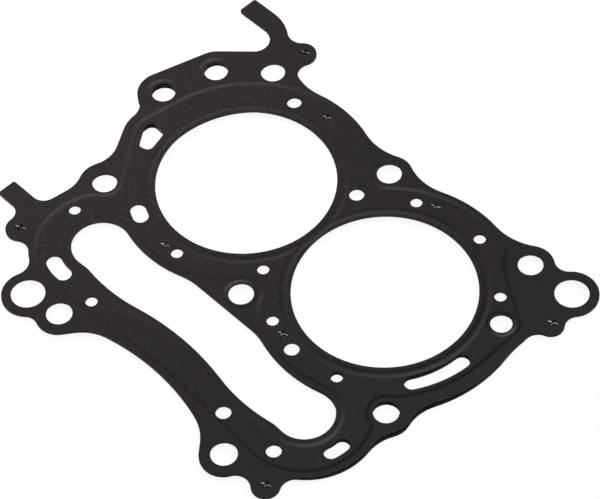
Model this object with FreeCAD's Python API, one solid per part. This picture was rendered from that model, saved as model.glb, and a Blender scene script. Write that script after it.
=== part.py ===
import FreeCAD, Part
import math
import os

# Cylinder head gasket of a twin-cylinder engine, made of three steel sheets.
# Millimetres. +X runs along the line of the bores, +Z is up towards the head.
# The origin is the centre of the left-hand bore, on the underside of the top sheet.

# Bores
BORE_R = 41.0
BORE_LAND = 6.0

# Sheets and pressed forms
OUTER_SHEET_T = 0.25
MIDDLE_SHEET_T = 0.5
STEP_H = 0.25
STEP_W = 1.7
BEAD_H = 0.15
BEAD_LAND = 1.7
BEAD_FLANK_W = 1.5
BEAD_TOP_W = 0.8
RECESS_LAND = 2.0
BOLT_RECESS_LAND = 1.6
RECESS_W = 1.2
BOLT_RING_W = 3.3
SHEET_CLEARANCE = 0.02

# Holes
HEAD_BOLT_R = 5.6
SIDE_BOLT_R = 5.8
DOWEL_R = 7.6
PASSAGE_R = 5.5
FEED_R = 4.8
JET_R = 2.7
WIDE_JET_R = 3.4
LONG_SLOT_HALF_W = 3.5
SLOT_HALF_W = 3.3
SHORT_SLOT_HALF_W = 3.6
PORT_CORNER_R = 2.9

# How much wider the two lower sheets are punched, all round
BORE_CLEARANCE = 1.6
PASSAGE_CLEARANCE = 0.35
BOLT_CLEARANCE = 0.5
JET_CLEARANCE = 0.05
TUNNEL_CLEARANCE = 0.35

# Distances outside the bore wall
JET_BEYOND = 9.4
HEAD_BOLT_BEYOND = 23.3
LOOP_BEYOND = 16.6
RIM_BEYOND = 19.2
SIDE_RIM_BEYOND = 22.0

# Chain tunnel
TUNNEL_TOP_BEYOND = 18.5
TUNNEL_BOTTOM_BEYOND = 42.7
TUNNEL_END_R = 13.1
TUNNEL_LINE_OUT = 3.1
TUNNEL_ARCH_R = 131.3
STRIP_W = 18.8
CORNER_W = STRIP_W + 0.3
CORNER_LOOP_W = CORNER_W - 3.0
ARCH_LOOP_W = STRIP_W - 3.2

# Outline
HEAD_BOSS_W = 5.0
SIDE_BOSS_W = 4.9
DOWEL_BOSS_W = 4.3
PASSAGE_BOSS_W = 6.7
EAR_R = 6.3
TAB_W = 9.5
HOOK_W = 9.8
HOOK_LENGTH = 13.4
TAB_CORNER_R = 0.9

# Stakes, pressed out of the top sheet through the others
STAKE_MOUTH_R = 2.2
STAKE_RIM_R = 2.8
STAKE_THROAT_R = 0.5
STAKE_FOOT_R = 2.5
STAKE_HOLE_R = 2.1
STAKE_SLIT_W = 0.3
STAKE_WALL = 0.22

# Bow of the two lower sheets, which hang a little away from the top one
LEFT_BOW = 2.66
RIGHT_BOW = 2.33
BOW_SPREAD = 35.0
STAKE_GRIP_SPREAD = 11.0
BOW_GRID = 9.0
SLAB_MARGIN = 5.0

BORE_PITCH = 2 * BORE_R + BORE_LAND
BORE_1 = (0.0, 0.0)
BORE_2 = (BORE_PITCH, 0.0)
MID_X = BORE_PITCH / 2

# Undersides of the three sheets, where the stack is tight
TOP_LOW_Z = 0.0
TOP_HIGH_Z = TOP_LOW_Z + STEP_H
BEAD_Z = TOP_LOW_Z + BEAD_H
MIDDLE_Z = TOP_LOW_Z - SHEET_CLEARANCE - MIDDLE_SHEET_T
BOTTOM_Z = MIDDLE_Z - SHEET_CLEARANCE - OUTER_SHEET_T

# Lowest that a bowed sheet can reach, and the highest point of the stack
STACK_LOW_Z = BOTTOM_Z - LEFT_BOW - RIGHT_BOW
STACK_HIGH_Z = TOP_HIGH_Z + BEAD_H + OUTER_SHEET_T


def polar(centre, radius, degrees):
    """A point at a distance and direction from a centre."""
    angle = math.radians(degrees)
    return (centre[0] + radius * math.cos(angle), centre[1] + radius * math.sin(angle))


def beyond(bore, distance, degrees):
    """A point a distance outside a bore's wall."""
    return polar(bore, BORE_R + distance, degrees)


def beside(point, dx, dy):
    return (point[0] + dx, point[1] + dy)


def between_bores(distance, side):
    """A point as far outside both bore walls, above (1) or below (-1) their line."""
    reach = BORE_R + distance
    return (MID_X, side * math.sqrt(reach * reach - MID_X * MID_X))


# Places of the main features
TUNNEL_END_BEYOND = TUNNEL_TOP_BEYOND + TUNNEL_END_R
END_1 = beyond(BORE_1, TUNNEL_END_BEYOND, -106.0)
END_2 = beyond(BORE_2, TUNNEL_END_BEYOND, -72.7)
ARCH = beside(between_bores(TUNNEL_BOTTOM_BEYOND + TUNNEL_ARCH_R, -1), 1.7, -0.35)
SIDE_BOLT_DROP = TUNNEL_END_R + STRIP_W + SIDE_BOLT_R

BOLT_TOP_LEFT = beyond(BORE_1, HEAD_BOLT_BEYOND + 1.5, 125.7)
BOLT_LOW_LEFT = beyond(BORE_1, HEAD_BOLT_BEYOND - 0.4, -135.3)
BOLT_TOP_RIGHT = beyond(BORE_2, HEAD_BOLT_BEYOND + 0.6, 56.3)
BOLT_LOW_RIGHT = beyond(BORE_2, HEAD_BOLT_BEYOND - 0.2, -44.6)
BOLT_TOP_MID = beside(between_bores(HEAD_BOLT_BEYOND + 0.6, 1), -0.6, 0.0)
BOLT_LOW_MID = beside(between_bores(HEAD_BOLT_BEYOND - 1.4, -1), 0.5, 0.0)
SIDE_BOLT_LEFT = beside(END_1, 15.4, -SIDE_BOLT_DROP)
SIDE_BOLT_RIGHT = beside(END_2, -9.5, -0.1 - SIDE_BOLT_DROP)
DOWEL_LEFT = beside(END_1, -2.7, -2.4 - SIDE_BOLT_DROP)
DOWEL_RIGHT = beyond(BORE_2, 40.0, 42.8)
PASSAGE_LOW = beyond(BORE_1, 26.0, 171.5)
PASSAGE_HIGH = beyond(BORE_1, 27.3, 148.5)
FEED = beyond(BORE_2, 12.4, 24.4)
PORT = beyond(BORE_1, 11.0, -165.9)

STAKE_EAR_LEFT = beyond(BORE_1, 39.9, 116.9)
STAKE_EAR_RIGHT = beyond(BORE_2, 33.2, 30.4)
STAKE_EAR_LOW_LEFT = beside(END_1, -14.2 - CORNER_W, -18.7)
STAKE_EAR_LOW_RIGHT = beside(END_2, 13.9, 1.5 - SIDE_BOLT_DROP)
RAISED_STAKES = [STAKE_EAR_LEFT, STAKE_EAR_RIGHT, STAKE_EAR_LOW_LEFT, STAKE_EAR_LOW_RIGHT]
LOW_STAKES = [
    beyond(BORE_1, JET_BEYOND + 1.1, 91.1),
    beyond(BORE_1, JET_BEYOND - 0.4, -89.4),
    beyond(BORE_2, JET_BEYOND + 1.0, 109.3),
    beyond(BORE_2, JET_BEYOND - 0.6, -108.1),
]

# Every round hole but the bores: place, radius, clearance of the lower sheets
ROUND_HOLES = [
    (BOLT_TOP_LEFT, HEAD_BOLT_R, BOLT_CLEARANCE),
    (BOLT_LOW_LEFT, HEAD_BOLT_R, BOLT_CLEARANCE),
    (BOLT_TOP_RIGHT, HEAD_BOLT_R, BOLT_CLEARANCE),
    (BOLT_LOW_RIGHT, HEAD_BOLT_R, BOLT_CLEARANCE),
    (BOLT_TOP_MID, HEAD_BOLT_R, BOLT_CLEARANCE),
    (BOLT_LOW_MID, HEAD_BOLT_R, BOLT_CLEARANCE),
    (SIDE_BOLT_LEFT, SIDE_BOLT_R, BOLT_CLEARANCE),
    (SIDE_BOLT_RIGHT, SIDE_BOLT_R, BOLT_CLEARANCE),
    (DOWEL_LEFT, DOWEL_R, BOLT_CLEARANCE),
    (DOWEL_RIGHT, DOWEL_R, BOLT_CLEARANCE),
    (PASSAGE_LOW, PASSAGE_R, PASSAGE_CLEARANCE),
    (PASSAGE_HIGH, PASSAGE_R, PASSAGE_CLEARANCE),
    (FEED, FEED_R, BOLT_CLEARANCE),
    (beyond(BORE_1, JET_BEYOND + 0.6, 110.9), WIDE_JET_R, JET_CLEARANCE),
    (beyond(BORE_1, JET_BEYOND + 0.1, 35.3), WIDE_JET_R, JET_CLEARANCE),
    (beyond(BORE_1, JET_BEYOND + 0.2, -34.8), JET_R, JET_CLEARANCE),
    (beyond(BORE_1, JET_BEYOND - 0.6, -81.2), JET_R, JET_CLEARANCE),
    (beyond(BORE_2, JET_BEYOND + 0.4, 118.8), JET_R, JET_CLEARANCE),
    (beyond(BORE_2, JET_BEYOND - 0.2, 78.5), JET_R, JET_CLEARANCE),
    (beyond(BORE_2, JET_BEYOND - 0.2, 40.4), JET_R, JET_CLEARANCE),
    (beyond(BORE_2, JET_BEYOND + 0.5, -117.3), JET_R, JET_CLEARANCE),
    (beyond(BORE_2, JET_BEYOND, -97.4), WIDE_JET_R, JET_CLEARANCE),
    (beyond(BORE_2, JET_BEYOND - 0.4, -69.2), JET_R, JET_CLEARANCE),
    (beside(END_1, 20.4, -23.4), JET_R, JET_CLEARANCE),
    (beside(END_1, -23.5, 5.2), JET_R, JET_CLEARANCE),
    (beside(END_2, -25.2, -23.5), WIDE_JET_R, JET_CLEARANCE),
    (beside(END_2, 4.0, -22.0), WIDE_JET_R, JET_CLEARANCE),
]

# Curved slots: centre of curvature, radius of the centre line, end angles, half width, clearance
CURVED_SLOTS = [
    (BORE_2, BORE_R + JET_BEYOND - 0.1, -31.9, -4.5, LONG_SLOT_HALF_W, JET_CLEARANCE),
    (BORE_1, BORE_R + JET_BEYOND, -117.2, -112.6, SHORT_SLOT_HALF_W, JET_CLEARANCE),
    (END_1, TUNNEL_END_R + 8.9, -110.6, -89.5, SHORT_SLOT_HALF_W, JET_CLEARANCE),
    (END_2, TUNNEL_END_R + 9.4, -15.0, -0.4, SLOT_HALF_W, JET_CLEARANCE),
]

# Circles that miss a touch by less than this share of their distance count as touching
TOUCHING = 1e-11

# Corners of the five-sided port beside bore 1, from its centre
PORT_CORNERS = [(-3.7, 3.9), (-3.7, 2.5), (1.1, -3.9), (2.3, -3.5), (0.5, 3.5)]


def tangent_line(first, second):
    """Ends of the line that leaves one circle and joins the next without a corner.

    A circle is (x, y, r): r is positive where the line turns left round it and
    negative where it turns right.
    """
    dx = second[0] - first[0]
    dy = second[1] - first[1]
    distance = math.hypot(dx, dy)
    share = max(-1.0, min(1.0, (second[2] - first[2]) / distance))
    if abs(share) > 1 - TOUCHING:
        share = math.copysign(1.0, share)
    heading = math.atan2(dy, dx) - math.asin(share)
    across = (-math.sin(heading), math.cos(heading))
    start = (first[0] - first[2] * across[0], first[1] - first[2] * across[1])
    end = (second[0] - second[2] * across[0], second[1] - second[2] * across[1])
    return start, end, heading


def blend(first, second, radius, side):
    """The circle of a signed radius that touches two others, left (1) or right (-1) of them.

    It is None where the two lie too far apart, and then a straight line joins them.
    """
    reach_1 = abs(first[2] - radius)
    reach_2 = abs(second[2] - radius)
    dx = second[0] - first[0]
    dy = second[1] - first[1]
    distance = math.hypot(dx, dy)
    along = (distance ** 2 + reach_1 ** 2 - reach_2 ** 2) / (2 * distance)
    square = reach_1 ** 2 - along ** 2
    if square <= 0:
        return None
    across = side * math.sqrt(square)
    x = first[0] + (along * dx - across * dy) / distance
    y = first[1] + (along * dy + across * dx) / distance
    return (x, y, radius)


def circle(centre, radius):
    return (centre[0], centre[1], radius)


def resolve(items):
    """Replace each ("blend", radius, side) by the circle that touches its neighbours."""
    circles = []
    for index, item in enumerate(items):
        if item[0] == "blend":
            before = items[index - 1]
            after = items[(index + 1) % len(items)]
            found = blend(before, after, item[1], item[2])
            if found is not None:
                circles.append(found)
        else:
            circles.append(item)
    return circles


def belt_edges(circles, z):
    """Edges of the closed line that runs round the circles in turn."""
    count = len(circles)
    lines = [tangent_line(circles[i], circles[(i + 1) % count]) for i in range(count)]
    edges = []
    for index in range(count):
        x, y, radius = circles[index]
        arriving = lines[index - 1]
        leaving = lines[index]
        turn = leaving[2] - arriving[2]
        while radius > 0 and turn < 0:
            turn += 2 * math.pi
        while radius > 0 and turn >= 2 * math.pi:
            turn -= 2 * math.pi
        while radius < 0 and turn > 0:
            turn -= 2 * math.pi
        while radius < 0 and turn <= -2 * math.pi:
            turn += 2 * math.pi
        middle = arriving[2] + turn / 2
        start = FreeCAD.Vector(arriving[1][0], arriving[1][1], z)
        through = FreeCAD.Vector(x + radius * math.sin(middle), y - radius * math.cos(middle), z)
        end = FreeCAD.Vector(leaving[0][0], leaving[0][1], z)
        edges.append(Part.Arc(start, through, end).toShape())
        far = FreeCAD.Vector(leaving[1][0], leaving[1][1], z)
        if end.distanceToPoint(far) > 1e-5:
            edges.append(Part.LineSegment(end, far).toShape())
    return edges


def belt(circles, z, grow=0.0):
    """Closed wire round the circles, moved outwards by grow."""
    grown = [(x, y, radius + grow) for x, y, radius in circles]
    return Part.Wire(belt_edges(grown, z))


def prism(wire, height):
    return Part.Face(wire).extrude(FreeCAD.Vector(0, 0, height))


def bevelled(circles, low_z, high_z, low_grow, high_grow):
    """Solid inside a line of circles whose wall leans between two offsets."""
    low = belt(circles, low_z, low_grow)
    high = belt(circles, high_z, high_grow)
    return Part.makeLoft([low, high], True, True)


def disc(centre, radius, z, height):
    return Part.makeCylinder(radius, height, FreeCAD.Vector(centre[0], centre[1], z))


def cone(centre, low_r, high_r, low_z, high_z):
    base = FreeCAD.Vector(centre[0], centre[1], low_z)
    return Part.makeCone(low_r, high_r, high_z - low_z, base)


def outline_circles():
    """The outside edge, starting at the lower left dowel hole."""
    dowel_left = circle(DOWEL_LEFT, DOWEL_R + DOWEL_BOSS_W)
    side_left = circle(SIDE_BOLT_LEFT, SIDE_BOLT_R + SIDE_BOSS_W)
    arch_r = TUNNEL_ARCH_R - STRIP_W
    arch = circle(ARCH, -arch_r)
    haunch_left = circle(polar(ARCH, arch_r - 21.0, 103.6), -21.0)
    haunch_right = circle(polar(ARCH, arch_r - 26.0, 74.2), -26.0)
    side_right = circle(SIDE_BOLT_RIGHT, SIDE_BOLT_R + SIDE_BOSS_W)
    ear_low_right = circle(STAKE_EAR_LOW_RIGHT, EAR_R)
    corner_right = circle(END_2, TUNNEL_END_R + CORNER_W)
    bolt_low_right = circle(BOLT_LOW_RIGHT, HEAD_BOLT_R + HEAD_BOSS_W)
    side_rim = circle(BORE_2, BORE_R + SIDE_RIM_BEYOND)
    feed = circle(FEED, FEED_R + 8.0)
    ear_right = circle(beside(STAKE_EAR_RIGHT, -0.1, -0.9), EAR_R - 0.2)
    dowel_right = circle(DOWEL_RIGHT, DOWEL_R + DOWEL_BOSS_W)
    bolt_top_right = circle(BOLT_TOP_RIGHT, HEAD_BOLT_R + HEAD_BOSS_W)
    rim_2 = circle(BORE_2, BORE_R + RIM_BEYOND - 0.2)
    bolt_top_mid = circle(BOLT_TOP_MID, HEAD_BOLT_R + HEAD_BOSS_W)
    rim_1 = circle(BORE_1, BORE_R + RIM_BEYOND)
    valley = circle(beyond(BORE_1, RIM_BEYOND + 26.0, 102.7), -26.0)
    ear_left = circle(beside(STAKE_EAR_LEFT, -0.2, -1.2), EAR_R + 0.3)
    hook_arc = circle(beyond(BORE_1, 44.35, 139.2), 23.6)
    passage_high = circle(PASSAGE_HIGH, PASSAGE_R + PASSAGE_BOSS_W)
    passage_low = circle(PASSAGE_LOW, PASSAGE_R + PASSAGE_BOSS_W)
    port = circle(beside(PORT, 3.3, 4.3), 18.4)
    bolt_low_left = circle(BOLT_LOW_LEFT, HEAD_BOLT_R + HEAD_BOSS_W + 1.3)
    ear_low_left = circle(beside(STAKE_EAR_LOW_LEFT, 0.3, 0.0), EAR_R + 0.5)
    corner_left = circle(END_1, TUNNEL_END_R + CORNER_W)
    port_hollow = circle(polar(BOLT_LOW_LEFT, bolt_low_left[2] + 14.6, 157.0), -14.6)
    neck = circle(polar(BOLT_LOW_LEFT, bolt_low_left[2] + 14.4, -151.7), -14.4)
    return resolve([
        dowel_left,
        ("blend", -6.0, -1),
        side_left,
        haunch_left,
        arch,
        haunch_right,
        side_right,
        ("blend", -6.5, -1),
        ear_low_right,
        ("blend", -6.6, -1),
        corner_right,
        ("blend", -20.0, -1),
        bolt_low_right,
        ("blend", -20.0, -1),
        side_rim,
        ("blend", -50.0, -1),
        feed,
        ("blend", -6.9, -1),
        ear_right,
        ("blend", -5.8, -1),
        dowel_right,
        ("blend", -6.3, -1),
        bolt_top_right,
        ("blend", -28.0, -1),
        rim_2,
        ("blend", -26.0, -1),
        bolt_top_mid,
        ("blend", -28.0, -1),
        rim_1,
        valley,
        ("blend", -6.2, 1),
        ear_left,
        ("blend", -7.1, -1),
        hook_arc,
    ] + hook_tab(hook_arc) + [
        passage_high,
        passage_low,
        ("blend", -9.0, -1),
        port,
        port_hollow,
        bolt_low_left,
        neck,
    ] + low_tab(ear_low_left) + [
        ear_low_left,
        ("blend", -6.5, -1),
        corner_left,
        ("blend", -7.4, -1),
    ])


def hook_tab(hook_arc):
    """The locating tab at the top left, with the round hollow under it."""
    top_y = hook_arc[1] + hook_arc[2]
    end_x = hook_arc[0] - HOOK_LENGTH
    low_y = top_y - HOOK_W
    hollow_r = 9.7
    hollow = (hook_arc[0] + 3.3, low_y - hollow_r, -hollow_r)
    inner_r = 7.1
    inner = circle(polar(hollow, hollow_r - inner_r, 34.0), -inner_r)
    return [
        (end_x + TAB_CORNER_R, top_y - TAB_CORNER_R, TAB_CORNER_R),
        (end_x + TAB_CORNER_R, low_y + TAB_CORNER_R, TAB_CORNER_R),
        hollow,
        inner,
    ]


def low_tab(ear):
    """The straight locating tab at the lower left."""
    low_y = ear[1] + 6.1
    top_y = low_y + TAB_W
    end_x = ear[0] - 22.7
    upper_r = 6.4
    lower_r = 6.0
    lower_x = ear[0] - math.sqrt((ear[2] + lower_r) ** 2 - (low_y - lower_r - ear[1]) ** 2)
    return [
        (ear[0] - 8.9, top_y + upper_r, -upper_r),
        (end_x + TAB_CORNER_R, top_y - TAB_CORNER_R, TAB_CORNER_R),
        (end_x + TAB_CORNER_R, low_y + TAB_CORNER_R, TAB_CORNER_R),
        (lower_x, low_y - lower_r, -lower_r),
    ]


def tunnel_circles():
    """The opening for the chain, whose long walls follow the bores."""
    end_1 = circle(END_1, TUNNEL_END_R)
    end_2 = circle(END_2, TUNNEL_END_R)
    low_1 = circle(BORE_1, BORE_R + TUNNEL_BOTTOM_BEYOND)
    low_2 = circle(BORE_2, BORE_R + TUNNEL_BOTTOM_BEYOND)
    arch = blend(low_1, low_2, -TUNNEL_ARCH_R, -1)
    top_1 = circle(BORE_1, -(BORE_R + TUNNEL_TOP_BEYOND))
    top_2 = circle(BORE_2, -(BORE_R + TUNNEL_TOP_BEYOND))
    flat_r = 27.0
    flat_y = -BORE_R - TUNNEL_TOP_BEYOND + 4.2
    flat_dx = math.sqrt((BORE_R + TUNNEL_TOP_BEYOND + flat_r) ** 2 - (flat_y - flat_r) ** 2)
    return resolve([
        end_1,
        ("blend", -20.5, -1),
        low_1,
        arch,
        low_2,
        ("blend", -20.0, -1),
        end_2,
        top_2,
        (BORE_2[0] - flat_dx, flat_y - flat_r, flat_r),
        (BORE_1[0] + flat_dx, flat_y - flat_r, flat_r),
        top_1,
    ])


def tunnel_line_circles():
    """The pressed step round the tunnel, which also takes in the bolt above it."""
    out = TUNNEL_LINE_OUT
    end_1 = circle(END_1, TUNNEL_END_R + out)
    end_2 = circle(END_2, TUNNEL_END_R + out)
    low_1 = circle(BORE_1, BORE_R + TUNNEL_BOTTOM_BEYOND + out)
    low_2 = circle(BORE_2, BORE_R + TUNNEL_BOTTOM_BEYOND + out)
    arch = blend(low_1, low_2, -TUNNEL_ARCH_R + out, -1)
    top_1 = circle(BORE_1, -(BORE_R + TUNNEL_TOP_BEYOND - out))
    top_2 = circle(BORE_2, -(BORE_R + TUNNEL_TOP_BEYOND - out))
    bolt = circle(BOLT_LOW_MID, HEAD_BOLT_R + BOLT_RING_W)
    return resolve([
        end_1,
        ("blend", -20.5 + out, -1),
        low_1,
        arch,
        low_2,
        ("blend", -20.0 + out, -1),
        end_2,
        top_2,
        ("blend", -20.0, 1),
        bolt,
        ("blend", -20.0, 1),
        top_1,
    ])


def coolant_line_circles():
    """The pressed step round everything that coolant reaches."""
    ring = HEAD_BOLT_R + 2.7
    arch = circle(ARCH, ARCH_LOOP_W - TUNNEL_ARCH_R)
    loop_r = BORE_R + LOOP_BEYOND
    return resolve([
        circle(END_1, TUNNEL_END_R + CORNER_LOOP_W),
        arch,
        circle(END_2, TUNNEL_END_R + CORNER_LOOP_W - 0.4),
        ("blend", 5.0, -1),
        circle(BOLT_LOW_RIGHT, -ring),
        ("blend", 10.0, -1),
        circle(BORE_2, loop_r - 1.2),
        circle(FEED, FEED_R + 3.0),
        circle(BOLT_TOP_RIGHT, -(ring + 3.7)),
        ("blend", 8.0, -1),
        circle(BORE_2, loop_r - 0.4),
        ("blend", 8.0, -1),
        circle(BOLT_TOP_MID, -ring),
        ("blend", 8.0, -1),
        circle(BORE_1, loop_r + 0.8),
        circle(beside(PORT, 3.3, 4.3), 13.3),
        circle(BOLT_LOW_LEFT, -(ring - 0.9)),
        ("blend", 5.0, -1),
    ])


def slot_solid(centre, radius, start, end, half_width, z, height):
    """A slot along an arc, with round ends."""
    first = polar(centre, radius, start)
    last = polar(centre, radius, end)
    middle = (start + end) / 2
    outer = [polar(centre, radius + half_width, angle) for angle in (start, middle, end)]
    inner = [polar(centre, radius - half_width, angle) for angle in (end, middle, start)]
    cap_end = polar(last, half_width, end + 90)
    cap_start = polar(first, half_width, start - 90)
    arcs = [
        outer,
        [outer[2], cap_end, inner[0]],
        inner,
        [inner[2], cap_start, outer[0]],
    ]
    edges = []
    for arc in arcs:
        points = [FreeCAD.Vector(x, y, z) for x, y in arc]
        edges.append(Part.Arc(*points).toShape())
    return prism(Part.Wire(edges), height)


def openings(z, height, share):
    """Everything that is punched out of a sheet, wider by a share of the clearances."""
    solids = [disc(centre, BORE_R + share * BORE_CLEARANCE, z, height) for centre in (BORE_1, BORE_2)]
    for centre, radius, clearance in ROUND_HOLES:
        solids.append(disc(centre, radius + share * clearance, z, height))
    for centre, radius, start, end, half_width, clearance in CURVED_SLOTS:
        width = half_width + share * clearance
        solids.append(slot_solid(centre, radius, start, end, width, z, height))
    port = [circle(beside(PORT, dx, dy), PORT_CORNER_R) for dx, dy in PORT_CORNERS]
    solids.append(prism(belt(port, z, share * PASSAGE_CLEARANCE), height))
    solids.append(prism(belt(tunnel_circles(), z, share * TUNNEL_CLEARANCE), height))
    return solids


def blank(share):
    """A sheet's outline with its openings, as a plain block as high as the whole stack."""
    height = STACK_HIGH_Z - STACK_LOW_Z
    block = prism(belt(outline_circles(), STACK_LOW_Z), height)
    return block.cut(openings(STACK_LOW_Z - height, 3 * height, share))


def pressed_ground():
    """The ground that the top sheet is pressed over: its upper face is the sheet's underside."""
    reach = 400.0
    floor_z = TOP_LOW_Z - 6.0
    corner = FreeCAD.Vector(MID_X - reach / 2, -reach / 2, floor_z)
    ground = Part.makeBox(reach, reach, TOP_HIGH_Z - floor_z, corner)
    half = STEP_W / 2
    coolant = coolant_line_circles()
    basin = bevelled(coolant, TOP_LOW_Z, TOP_HIGH_Z, -half, half)
    tunnel = tunnel_line_circles()
    island = bevelled(tunnel, TOP_LOW_Z, TOP_HIGH_Z, half, -half)
    basin = basin.cut(island)
    feed_r = FEED_R + RECESS_LAND
    basin = basin.cut(cone(FEED, feed_r, feed_r - RECESS_W, TOP_LOW_Z, TOP_HIGH_Z))
    for centre in (BORE_1, BORE_2):
        basin = basin.cut(bore_bead(centre))
    ground = ground.cut(basin)
    recesses = [
        (PASSAGE_LOW, PASSAGE_R + RECESS_LAND),
        (PASSAGE_HIGH, PASSAGE_R + RECESS_LAND),
        (BOLT_LOW_MID, HEAD_BOLT_R + BOLT_RECESS_LAND),
    ]
    for centre, radius in recesses:
        low_r = radius - RECESS_W / 2
        ground = ground.cut(cone(centre, low_r, low_r + RECESS_W, TOP_LOW_Z, TOP_HIGH_Z))
    return ground


def bore_bead(centre):
    """The ridge that seals a bore, seen in section and turned about the bore's axis."""
    inner = BORE_R + BEAD_LAND
    points = [
        (inner, TOP_LOW_Z),
        (inner + BEAD_FLANK_W, BEAD_Z),
        (inner + BEAD_FLANK_W + BEAD_TOP_W, BEAD_Z),
        (inner + 2 * BEAD_FLANK_W + BEAD_TOP_W, TOP_LOW_Z),
    ]
    vectors = [FreeCAD.Vector(centre[0] + r, centre[1], z) for r, z in points]
    section = Part.Face(Part.makePolygon(vectors + [vectors[0]]))
    axis = FreeCAD.Vector(centre[0], centre[1], 0)
    return section.revolve(axis, FreeCAD.Vector(0, 0, 1), 360)


def stake(centre, sheet_z):
    """One funnel of petals, pressed down out of the top sheet and spread under the stack."""
    grip_z = BOTTOM_Z - SHEET_CLEARANCE
    foot_z = grip_z - STAKE_WALL
    throat = STAKE_THROAT_R + STAKE_WALL
    upper_z = sheet_z + OUTER_SHEET_T
    points = [
        (STAKE_MOUTH_R, upper_z),
        (STAKE_THROAT_R, MIDDLE_Z + STAKE_WALL),
        (STAKE_THROAT_R, foot_z),
        (STAKE_FOOT_R, foot_z),
        (STAKE_FOOT_R, grip_z),
        (throat, grip_z),
        (throat, MIDDLE_Z),
        (STAKE_HOLE_R - 0.1, sheet_z),
        (STAKE_RIM_R, sheet_z),
        (STAKE_RIM_R, upper_z),
    ]
    vectors = [FreeCAD.Vector(centre[0] + r, centre[1], z) for r, z in points]
    section = Part.Face(Part.makePolygon(vectors + [vectors[0]]))
    axis = FreeCAD.Vector(centre[0], centre[1], 0)
    funnel = section.revolve(axis, FreeCAD.Vector(0, 0, 1), 360)
    slits = []
    reach = STAKE_FOOT_R + 0.05
    for angle in (20, 110):
        start = FreeCAD.Vector(-reach, -STAKE_SLIT_W / 2, foot_z - 1)
        slit = Part.makeBox(2 * reach, STAKE_SLIT_W, upper_z - foot_z + 2, start)
        slit.rotate(FreeCAD.Vector(0, 0, 0), FreeCAD.Vector(0, 0, 1), angle)
        slit.translate(axis)
        slits.append(slit)
    return funnel.cut(slits)


def top_layer():
    """Upper outer sheet with its beads, steps and stakes."""
    ground = pressed_ground()
    raised = ground.copy()
    raised.translate(FreeCAD.Vector(0, 0, OUTER_SHEET_T))
    sheet = blank(0).common(raised).cut(ground)
    levels = [(place, TOP_HIGH_Z) for place in RAISED_STAKES]
    levels += [(place, TOP_LOW_Z) for place in LOW_STAKES]
    for place, level in levels:
        mouth = disc(place, STAKE_RIM_R, level - 1, 3.0)
        sheet = sheet.cut(mouth).fuse(stake(place, level))
    return sheet


def bow(x, y):
    """How far the lower sheets hang below their tight place, in parts of the full bow."""
    left = beyond(BORE_1, 27.0, 173.0)
    right = beyond(BORE_2, 27.0, -38.5)
    total = 0.0
    for centre, depth in ((left, LEFT_BOW), (right, RIGHT_BOW)):
        square = (x - centre[0]) ** 2 + (y - centre[1]) ** 2
        total += depth * math.exp(-square / (2 * BOW_SPREAD ** 2))
    for place in RAISED_STAKES + LOW_STAKES:
        square = (x - place[0]) ** 2 + (y - place[1]) ** 2
        total *= 1 - math.exp(-square / (2 * STAKE_GRIP_SPREAD ** 2))
    return total


def bowed_slab(box, z, thickness, share):
    """A slab over the whole of a box whose faces follow a share of the bow."""
    low_x = box.XMin - SLAB_MARGIN
    high_x = box.XMax + SLAB_MARGIN
    low_y = box.YMin - SLAB_MARGIN
    high_y = box.YMax + SLAB_MARGIN
    columns = int((high_x - low_x) / BOW_GRID)
    rows = int((high_y - low_y) / BOW_GRID)
    grid = []
    for column in range(columns + 1):
        x = low_x + (high_x - low_x) * column / columns
        line = []
        for row in range(rows + 1):
            y = low_y + (high_y - low_y) * row / rows
            line.append(FreeCAD.Vector(x, y, z - share * bow(x, y)))
        grid.append(line)
    surface = Part.BSplineSurface()
    surface.interpolate(grid)
    return surface.toShape().extrude(FreeCAD.Vector(0, 0, thickness))


def lower_sheet(z, thickness, share):
    """A plain sheet under the top one, with wider holes and room for the stakes."""
    outline = blank(1)
    slab = bowed_slab(outline.BoundBox, z, thickness, share)
    height = STACK_HIGH_Z - STACK_LOW_Z
    holes = [disc(place, STAKE_HOLE_R, STACK_LOW_Z, height) for place in RAISED_STAKES + LOW_STAKES]
    return slab.common(outline.cut(holes))


def write(name, shape):
    print(name, "valid", shape.isValid(), "solids", len(shape.Solids), "volume", round(shape.Volume, 1))
    shape.exportStep(os.path.join("parts", name + ".step"))


os.makedirs("parts", exist_ok=True)
write("top_layer", top_layer())
write("middle_layer", lower_sheet(MIDDLE_Z, MIDDLE_SHEET_T, 0.5))
write("bottom_layer", lower_sheet(BOTTOM_Z, OUTER_SHEET_T, 1.0))
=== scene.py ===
import math
import random

import bpy
from mathutils import Matrix, Vector


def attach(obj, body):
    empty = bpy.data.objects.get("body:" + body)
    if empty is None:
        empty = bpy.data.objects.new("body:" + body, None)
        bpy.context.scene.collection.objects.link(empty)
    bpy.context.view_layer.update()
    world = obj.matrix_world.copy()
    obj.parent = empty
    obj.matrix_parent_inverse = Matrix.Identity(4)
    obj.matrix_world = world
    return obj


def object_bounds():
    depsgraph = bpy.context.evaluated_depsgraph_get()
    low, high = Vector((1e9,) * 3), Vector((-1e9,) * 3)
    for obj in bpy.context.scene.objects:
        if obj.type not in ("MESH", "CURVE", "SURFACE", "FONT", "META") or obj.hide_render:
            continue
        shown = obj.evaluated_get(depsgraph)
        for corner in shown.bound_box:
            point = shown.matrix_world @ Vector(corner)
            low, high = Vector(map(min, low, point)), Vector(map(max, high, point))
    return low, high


# A cylinder head gasket lying on a white table, seen from its lower right corner.
# Metres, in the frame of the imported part, but for the stakes, which are in millimetres.

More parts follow.
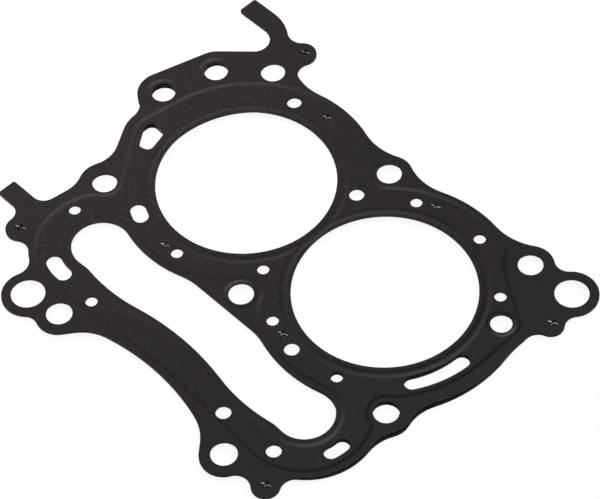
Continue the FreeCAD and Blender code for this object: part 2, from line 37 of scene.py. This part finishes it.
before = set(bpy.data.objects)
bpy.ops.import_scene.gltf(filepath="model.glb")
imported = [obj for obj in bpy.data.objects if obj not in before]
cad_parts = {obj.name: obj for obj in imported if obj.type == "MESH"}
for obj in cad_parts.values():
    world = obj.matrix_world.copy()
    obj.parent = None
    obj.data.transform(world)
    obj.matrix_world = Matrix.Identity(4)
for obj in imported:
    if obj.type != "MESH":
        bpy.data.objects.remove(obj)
CAD_BOX = [list(corner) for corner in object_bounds()]

MM = 0.001
UP = Vector((0.0, 0.0, 1.0))

# Camera, fitted to the photograph: ACROSS runs right in the picture and AWAY runs from the camera
IMAGE_W_PX = 600
FOCAL_PX = 2696.2
SENSOR_W_MM = 36.0
CAMERA_AT = Vector((0.5961, -0.4862, 0.93875))
CAMERA_ELEVATION = 0.910992
CAMERA_ROLL = 0.0706182
ACROSS = Vector((0.65398, 0.75651, 0.0))
AWAY = Vector((-0.75651, 0.65398, 0.0))

# Colours of the surfaces, linear
COATING_WARM = (0.0142, 0.0100, 0.0096, 1.0)
COATING_COOL = (0.0112, 0.0098, 0.0110, 1.0)
COATING_DUST = (0.0335, 0.0270, 0.0262, 1.0)
# Near-black middle-sheet steel: painted shade; the stains over it are its own
SHADED_CORE_STEEL = (0.045, 0.043, 0.042, 1.0)
SHADED_CORE_STAIN = (0.030, 0.028, 0.027, 1.0)
# Near-black set on the punched walls and in the creases of the torn crosses: painted shade
SHADE_BLACK = (0.008, 0.007, 0.007, 1.0)
TORN_STEEL = (0.90, 0.89, 0.88, 1.0)
TABLE_WHITE = (0.86, 0.86, 0.86, 1.0)
WHITE = (1.0, 1.0, 1.0, 1.0)

# Patterns of the surfaces, in features per metre
BLOTCH_SCALE = 95.0
STAIN_SCALE = 300.0
SMEAR_SCALE = 420.0
ROLLING_SCALE = 900.0
GRAIN_SCALE = 1700.0
BUMP_SCALE = 3000.0

# Finish
COATING_ROUGHNESS = (0.27, 0.33)
CORE_ROUGHNESS = (0.38, 0.55)
COATING_SPECULAR = 0.40
BUMP_STRENGTH = 0.12
BUMP_DEPTH = 0.05 * MM
EDGE_R = 0.2 * MM
EDGE_SAMPLES = 6
WALL_BELOW = 0.35
FACE_ABOVE = 0.55

# Stakes: x, y and level of the sheet, in millimetres
STAKES = [
    (-36.602, 72.146, 0.50),
    (151.999, 37.548, 0.50),
    (-53.311, -88.488, 0.50),
    (123.489, -105.516, 0.50),
    (-0.989, 51.491, 0.25),
    (0.524, -49.997, 0.25),
    (71.012, 48.511, 0.25),
    (72.528, -47.336, 0.25),
]

# The cross torn in each stake's mouth, in millimetres, with its arms in the order right, up, left and down
CROSS_TURN = math.radians(20.0)
HALF_LINES = (0.08, 0.16, 0.22, 0.29, 0.36, 0.43, 0.5, 0.6, 0.75,
              0.95, 1.2, 1.5, 1.8, 2.1, 2.4, 2.7, 3.1, 3.5)
GRID_LINES = [-line for line in reversed(HALF_LINES)] + [0.0] + list(HALF_LINES)
CROSS_R = 3.4
CROSS_LIFT = 0.008
CROSS_SEED = 11
ARM_LENGTHS = (3.3, 2.7, 3.0, 2.4)
ARM_SHORTEST = 0.7
CURL_LEAST = (0.8, 0.8, 0.3, 0.8)
MOUTH_R = 2.15
SLIT_R = MOUTH_R - 0.5
SLIT_HALF_W = 0.15
GROOVE_SLOPE = 0.15
GROOVE_W = 0.42
CURL_H = 0.10
CURL_AT = 0.42
CURL_FALL = 0.28
PETAL_T = 0.10

# How much of a cross is torn bare (above 0) or painted black as shade in its creases (below 0)
BARE_GAIN = 1.4
BARE_MARGIN = 0.02
CREASE_SHADE_GAIN = 1.8
UNEVEN_LEAST = 0.6
BARE_RANGE = (0.25, 0.75)
CREASE_SHADE_RANGE = (-0.4, -0.12)

# Light
MIDDLE = Vector((0.044, -0.02, 0.0))
DOME_TURN = math.radians(110.0)
DOME_ELEVATION = math.radians(70.0)
DOME_INNER = math.radians(17.0)
DOME_OUTER = math.radians(47.0)
DOME_STRENGTH = 2.2
WORLD_STRENGTH = 0.035
SPOT_AT = (-0.30, 0.20, 0.60)
SPOT_TARGET = (-0.11, 0.12, 0.0)
SPOT_RADIUS = 0.06
SPOT_CONE = math.radians(40.0)
SPOT_POWER = 22.0

# Floor
FLOOR_SHOWN_WHITE = 0.86
FLOOR_GLOW = 1.05
FLOOR_HALF = 3.0
FLOOR_GAP = 0.00002


def node_material(name):
    """A material with an empty tree but for its output."""
    material = bpy.data.materials.new(name)
    material.use_nodes = True
    tree = material.node_tree
    tree.nodes.clear()
    output = tree.nodes.new("ShaderNodeOutputMaterial")
    return material, tree, output


def surface_shader(tree, output):
    """A Principled shader that makes the surface of a material."""
    shader = tree.nodes.new("ShaderNodeBsdfPrincipled")
    tree.links.new(shader.outputs["BSDF"], output.inputs["Surface"])
    return shader


def add(tree, kind, **values):
    """A node whose named inputs get the given values."""
    node = tree.nodes.new(kind)
    for key, value in values.items():
        node.inputs[key.replace("_", " ")].default_value = value
    return node


def noise(tree, scale, detail, roughness=0.55):
    """Noise over the object's own coordinates, with scale in features per metre."""
    coordinates = tree.nodes.new("ShaderNodeTexCoord")
    texture = add(tree, "ShaderNodeTexNoise", Scale=scale, Detail=detail, Roughness=roughness)
    tree.links.new(coordinates.outputs["Object"], texture.inputs["Vector"])
    return texture.outputs["Fac"]


def spread(tree, value, low, high, to_low, to_high, kind="LINEAR"):
    """A value stretched from one range to another and kept inside it."""
    node = tree.nodes.new("ShaderNodeMapRange")
    node.interpolation_type = kind
    node.inputs["From Min"].default_value = low
    node.inputs["From Max"].default_value = high
    node.inputs["To Min"].default_value = to_low
    node.inputs["To Max"].default_value = to_high
    tree.links.new(value, node.inputs["Value"])
    return node.outputs["Result"]


def mix_colour(tree, factor, first, second):
    """The first colour where the factor is 0 and the second where it is 1; each a tuple or a socket."""
    node = tree.nodes.new("ShaderNodeMix")
    node.data_type = "RGBA"
    tree.links.new(factor, node.inputs["Factor"])
    for socket, colour in ((node.inputs[6], first), (node.inputs[7], second)):
        if isinstance(colour, tuple):
            socket.default_value = colour
        else:
            tree.links.new(colour, socket)
    return node.outputs[2]


def mix_shader(tree, output, factor, first, second):
    """Makes the surface out of two shaders: the first where the factor is 0, the second where it is 1."""
    mix = tree.nodes.new("ShaderNodeMixShader")
    tree.links.new(factor, mix.inputs["Fac"])
    tree.links.new(first, mix.inputs[1])
    tree.links.new(second, mix.inputs[2])
    tree.links.new(mix.outputs["Shader"], output.inputs["Surface"])


def camera_ray(tree):
    """1 for what the camera sees directly, 0 for all else."""
    return tree.nodes.new("ShaderNodeLightPath").outputs["Is Camera Ray"]


def maths(tree, operation, first, second=None):
    """A Math node's result; the second value is a number or a socket."""
    node = tree.nodes.new("ShaderNodeMath")
    node.operation = operation
    tree.links.new(first, node.inputs[0])
    if isinstance(second, float):
        node.inputs[1].default_value = second
    elif second is not None:
        tree.links.new(second, node.inputs[1])
    return node.outputs["Value"]


def standing_wall(tree):
    """1 on the punched walls of a sheet, 0 on its faces."""
    geometry = tree.nodes.new("ShaderNodeNewGeometry")
    split = tree.nodes.new("ShaderNodeSeparateXYZ")
    tree.links.new(geometry.outputs["True Normal"], split.inputs["Vector"])
    upright = maths(tree, "ABSOLUTE", split.outputs["Z"])
    return spread(tree, upright, WALL_BELOW, FACE_ABOVE, 1.0, 0.0)


def coating_shader(tree, output):
    """The satin black coating: its shader, its fine bump, and its colour, over which others may be laid."""
    shader = surface_shader(tree, output)
    shader.inputs["Specular IOR Level"].default_value = COATING_SPECULAR
    rough = spread(tree, noise(tree, SMEAR_SCALE, 4.0), 0.3, 0.7, *COATING_ROUGHNESS)
    tree.links.new(rough, shader.inputs["Roughness"])
    bump = add(tree, "ShaderNodeBump", Strength=BUMP_STRENGTH, Distance=BUMP_DEPTH)
    tree.links.new(noise(tree, BUMP_SCALE, 3.0), bump.inputs["Height"])
    tree.links.new(bump.outputs["Normal"], shader.inputs["Normal"])
    blotches = spread(tree, noise(tree, BLOTCH_SCALE, 2.0), 0.40, 0.62, 0.0, 1.0)
    colour = mix_colour(tree, blotches, COATING_WARM, COATING_COOL)
    grain = spread(tree, noise(tree, GRAIN_SCALE, 3.0), 0.42, 0.75, 0.0, 1.0)
    return shader, bump, mix_colour(tree, grain, colour, COATING_DUST)


def coated_sheet():
    """Coated spring steel, with its punched walls painted near-black as shade."""
    material, tree, output = node_material("coated_sheet")
    shader, bump, coating = coating_shader(tree, output)
    wall_shade = standing_wall(tree)
    # Painted shade: the punched walls are set near-black.
    tree.links.new(mix_colour(tree, wall_shade, coating, SHADE_BLACK), shader.inputs["Base Color"])
    tree.links.new(wall_shade, shader.inputs["Metallic"])
    bevel = add(tree, "ShaderNodeBevel", Radius=EDGE_R)
    bevel.samples = EDGE_SAMPLES
    tree.links.new(bevel.outputs["Normal"], bump.inputs["Normal"])
    return material


def torn_and_shaded_sheet():
    """The same coating, torn to bare steel, and with painted shade in the creases, as the values on the
    mesh say.
    """
    material, tree, output = node_material("torn_and_shaded_sheet")
    shader, _, coating = coating_shader(tree, output)
    torn_and_shade = tree.nodes.new("ShaderNodeAttribute")
    torn_and_shade.attribute_name = "torn_and_shade"
    bare = spread(tree, torn_and_shade.outputs["Fac"], *BARE_RANGE, 0.0, 1.0)
    crease_shade = spread(tree, torn_and_shade.outputs["Fac"], *CREASE_SHADE_RANGE, 1.0, 0.0)
    # Painted shade: the creases are set near-black.
    crease_shaded = mix_colour(tree, crease_shade, coating, SHADE_BLACK)
    tree.links.new(mix_colour(tree, bare, crease_shaded, TORN_STEEL), shader.inputs["Base Color"])
    tree.links.new(maths(tree, "MAXIMUM", bare, crease_shade), shader.inputs["Metallic"])
    return material


def core_sheet():
    """Plain rolled steel, dulled, with its colour set near-black as painted shade, and stains over it."""
    material, tree, output = node_material("core_sheet")
    shader = surface_shader(tree, output)
    stain = spread(tree, noise(tree, STAIN_SCALE, 4.0), 0.35, 0.65, 0.0, 1.0)
    # Painted shade: the steel and its stains are set near-black.
    tree.links.new(mix_colour(tree, stain, SHADED_CORE_STEEL, SHADED_CORE_STAIN), shader.inputs["Base Color"])
    shader.inputs["Metallic"].default_value = 1.0
    rough = spread(tree, noise(tree, ROLLING_SCALE, 3.0), 0.3, 0.7, *CORE_ROUGHNESS)
    tree.links.new(rough, shader.inputs["Roughness"])
    return material


def dress(node, material):
    """Gives a CAD node its finish."""
    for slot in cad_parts[node].material_slots:
        slot.material = material


def petal_point(along, across, lengths, curls):
    """Height over the sheet, and the value for torn steel or painted crease shade, of one point of a
    pressed cross.
    """
    radius = math.hypot(along, across)
    if abs(along) >= abs(across):
        arm = 0 if along > 0 else 2
        beside = abs(across)
    else:
        arm = 1 if across > 0 else 3
        beside = abs(along)
    fade = max(0.0, 1.0 - radius / lengths[arm]) ** 0.5
    groove = fade * math.exp(-(beside / GROOVE_W) ** 2)
    height = -GROOVE_SLOPE * max(0.0, MOUTH_R - radius) * groove
    # Painted shade: the grooves of the up and down arms, and one side of the other grooves, are set black.
    if arm in (1, 3) or across <= 0:
        return height, -min(1.0, CREASE_SHADE_GAIN * groove)
    rise = min(1.0, max(0.0, (beside - SLIT_HALF_W) / (CURL_AT - SLIT_HALF_W)))
    fall = math.exp(-(max(0.0, beside - CURL_AT) / CURL_FALL) ** 2)
    curl = fade * curls[arm]
    torn_and_shade = BARE_GAIN * curl if SLIT_HALF_W < beside < CURL_AT + BARE_MARGIN else 0.0
    return height + CURL_H * curl * rise * fall, min(1.0, torn_and_shade)


def cross_points(stake, draw):
    """The grid points of one cross and their values for torn steel and painted crease shade."""
    x, y, level = stake
    lengths = [length * draw.uniform(ARM_SHORTEST, 1.0) for length in ARM_LENGTHS]
    curls = [draw.uniform(least, 1.0) for least in CURL_LEAST]
    cos_turn = math.cos(CROSS_TURN)
    sin_turn = math.sin(CROSS_TURN)
    points, torn_and_shade = [], []
    for across in GRID_LINES:
        for along in GRID_LINES:
            height, share = petal_point(along, across, lengths, curls)
            point_x = x + along * cos_turn - across * sin_turn
            point_y = y + along * sin_turn + across * cos_turn
            points.append(Vector((point_x, point_y, level + CROSS_LIFT + height)) * MM)
            torn_and_shade.append(share * draw.uniform(UNEVEN_LEAST, 1.0))
    return points, torn_and_shade


def cross_faces():
    """The faces of one cross, as grid point numbers: a disc without its four slits."""
    count = len(GRID_LINES)
    middles = [(low + high) / 2 for low, high in zip(GRID_LINES, GRID_LINES[1:])]
    faces = []
    for row, across in enumerate(middles):
        for column, along in enumerate(middles):
            radius = math.hypot(along, across)
            in_slit = min(abs(along), abs(across)) < SLIT_HALF_W and radius < SLIT_R
            if not in_slit and radius <= CROSS_R:
                corner = row * count + column
                faces.append((corner, corner + 1, corner + 1 + count, corner + count))
    return faces


def build_stakes():
    """The torn crosses in the stakes' mouths: four petals, open slits and their curled edges."""
    draw = random.Random(CROSS_SEED)
    one_cross = cross_faces()
    used = sorted({index for face in one_cross for index in face})
    number_of = {index: number for number, index in enumerate(used)}
    points, torn_and_shade, faces = [], [], []
    for stake in STAKES:
        first = len(points)
        faces += [[first + number_of[index] for index in face] for face in one_cross]
        grid, values = cross_points(stake, draw)
        points += [grid[index] for index in used]
        torn_and_shade += [values[index] for index in used]
    mesh = bpy.data.meshes.new("stake_crosses")
    mesh.from_pydata(points, [], faces)
    mesh.attributes.new("torn_and_shade", "FLOAT", "POINT").data.foreach_set("value", torn_and_shade)
    mesh.materials.append(torn_and_shaded_sheet())
    crosses = bpy.data.objects.new("stake_crosses", mesh)
    bpy.context.collection.objects.link(crosses)
    thick = crosses.modifiers.new("thick", "SOLIDIFY")
    thick.thickness = PETAL_T * MM
    thick.offset = -1.0
    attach(crosses, "root")


def build_camera():
    """The photograph's camera: place, direction, roll and focal length."""
    forward = math.cos(CAMERA_ELEVATION) * AWAY - math.sin(CAMERA_ELEVATION) * UP
    down = -math.sin(CAMERA_ELEVATION) * AWAY - math.cos(CAMERA_ELEVATION) * UP
    right = math.cos(CAMERA_ROLL) * ACROSS + math.sin(CAMERA_ROLL) * down
    lower = -math.sin(CAMERA_ROLL) * ACROSS + math.cos(CAMERA_ROLL) * down
    data = bpy.data.cameras.new("photo_camera")
    data.sensor_width = SENSOR_W_MM
    data.lens = FOCAL_PX * SENSOR_W_MM / IMAGE_W_PX
    camera = bpy.data.objects.new("photo_camera", data)
    columns = Matrix((right, -lower, -forward)).transposed().to_4x4()
    camera.matrix_world = Matrix.Translation(CAMERA_AT) @ columns
    bpy.context.collection.objects.link(camera)
    bpy.context.scene.camera = camera


def studio_point(across, away, up):
    """A place given from the middle of the part: across the picture, away from the camera and up."""
    return MIDDLE + across * ACROSS + away * AWAY + up * UP


def build_lamp():
    """A wide spot lamp over the upper left, which fades towards the lower right and leaves no highlight."""
    data = bpy.data.lights.new("left_spot", "SPOT")
    data.energy = SPOT_POWER
    data.shadow_soft_size = SPOT_RADIUS
    data.spot_size = SPOT_CONE
    data.spot_blend = 1.0
    lamp = bpy.data.objects.new("left_spot", data)
    bpy.context.collection.objects.link(lamp)
    lamp.visible_camera = False
    lamp.visible_glossy = False
    place = studio_point(*SPOT_AT)
    lamp.location = place
    lamp.rotation_euler = (studio_point(*SPOT_TARGET) - place).to_track_quat("-Z", "Y").to_euler()


def build_world():
    """A wide soft light high on the right, dim all round, white where the camera sees past the floor."""
    world = bpy.data.worlds.new("studio")
    world.use_nodes = True
    bpy.context.scene.world = world
    tree = world.node_tree
    tree.nodes.clear()
    output = tree.nodes.new("ShaderNodeOutputWorld")
    level = math.cos(DOME_TURN) * AWAY + math.sin(DOME_TURN) * ACROSS
    coordinates = tree.nodes.new("ShaderNodeTexCoord")
    nearness = tree.nodes.new("ShaderNodeVectorMath")
    nearness.operation = "DOT_PRODUCT"
    nearness.inputs[1].default_value = math.cos(DOME_ELEVATION) * level + math.sin(DOME_ELEVATION) * UP
    tree.links.new(coordinates.outputs["Generated"], nearness.inputs[0])
    glow = spread(tree, nearness.outputs["Value"], math.cos(DOME_OUTER), math.cos(DOME_INNER),
                  WORLD_STRENGTH, DOME_STRENGTH, "SMOOTHSTEP")
    light = add(tree, "ShaderNodeBackground", Color=WHITE)
    tree.links.new(glow, light.inputs["Strength"])
    shown = add(tree, "ShaderNodeBackground", Color=WHITE, Strength=1.0)
    mix_shader(tree, output, camera_ray(tree), light.outputs["Background"], shown.outputs["Background"])


def build_floor(level):
    """White table top, which keeps a soft part of the shadow."""
    mesh = bpy.data.meshes.new("floor")
    corners = [(FLOOR_HALF * x, FLOOR_HALF * y, level) for x, y in ((-1, -1), (1, -1), (1, 1), (-1, 1))]
    mesh.from_pydata(corners, [], [(0, 1, 2, 3)])
    floor = bpy.data.objects.new("floor", mesh)
    bpy.context.collection.objects.link(floor)
    material, tree, output = node_material("white_table")
    diffuse = add(tree, "ShaderNodeBsdfDiffuse", Color=TABLE_WHITE)
    glow = add(tree, "ShaderNodeEmission", Color=WHITE, Strength=FLOOR_GLOW)
    share = maths(tree, "MULTIPLY", camera_ray(tree), FLOOR_SHOWN_WHITE)
    mix_shader(tree, output, share, diffuse.outputs["BSDF"], glow.outputs["Emission"])
    mesh.materials.append(material)


bpy.context.scene.view_settings.view_transform = "Standard"
coating = coated_sheet()
dress("top_layer", coating)
dress("bottom_layer", coating)
dress("middle_layer", core_sheet())
build_stakes()
build_camera()
build_lamp()
build_world()
build_floor(CAD_BOX[0][2] - FLOOR_GAP)
